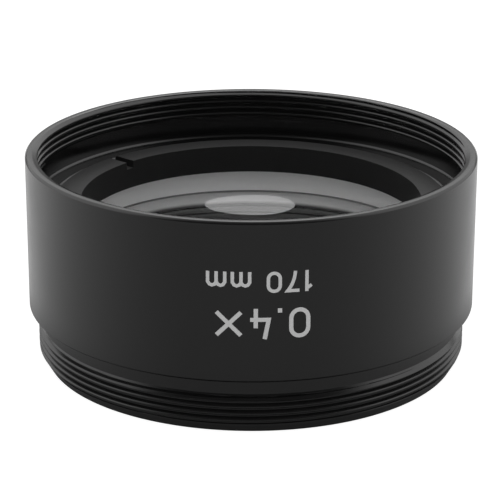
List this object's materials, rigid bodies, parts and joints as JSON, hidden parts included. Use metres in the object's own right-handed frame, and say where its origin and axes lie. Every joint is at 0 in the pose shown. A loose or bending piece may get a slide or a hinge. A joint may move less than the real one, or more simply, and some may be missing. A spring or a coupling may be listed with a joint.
{
  "type": "supplementary microscope objective",
  "caption": "Supplementary objective for a stereo microscope: a short threaded barrel holding a cemented lens under a slotted retaining ring.",
  "frame": {"origin": "centre of the end face of the mounting thread, on which the part stands", "axes": "+Z along the optical axis from the microscope towards the specimen; +X to the right and +Y away in the picture"},
  "size_m": [0.05, 0.05, 0.0236],
  "materials": {
    "black_anodised_barrel": "satin black anodised",
    "black_anodised_ring": "matt black anodised",
    "crown_glass": "polished faces, ground edge",
    "flint_glass": "polished faces, ground edge"
  },
  "bodies": {
    "root": {"barrel": "black_anodised_barrel", "retaining_ring": "black_anodised_ring", "front_lens": "crown_glass", "rear_lens": "flint_glass"}
  },
  "joints": []
}
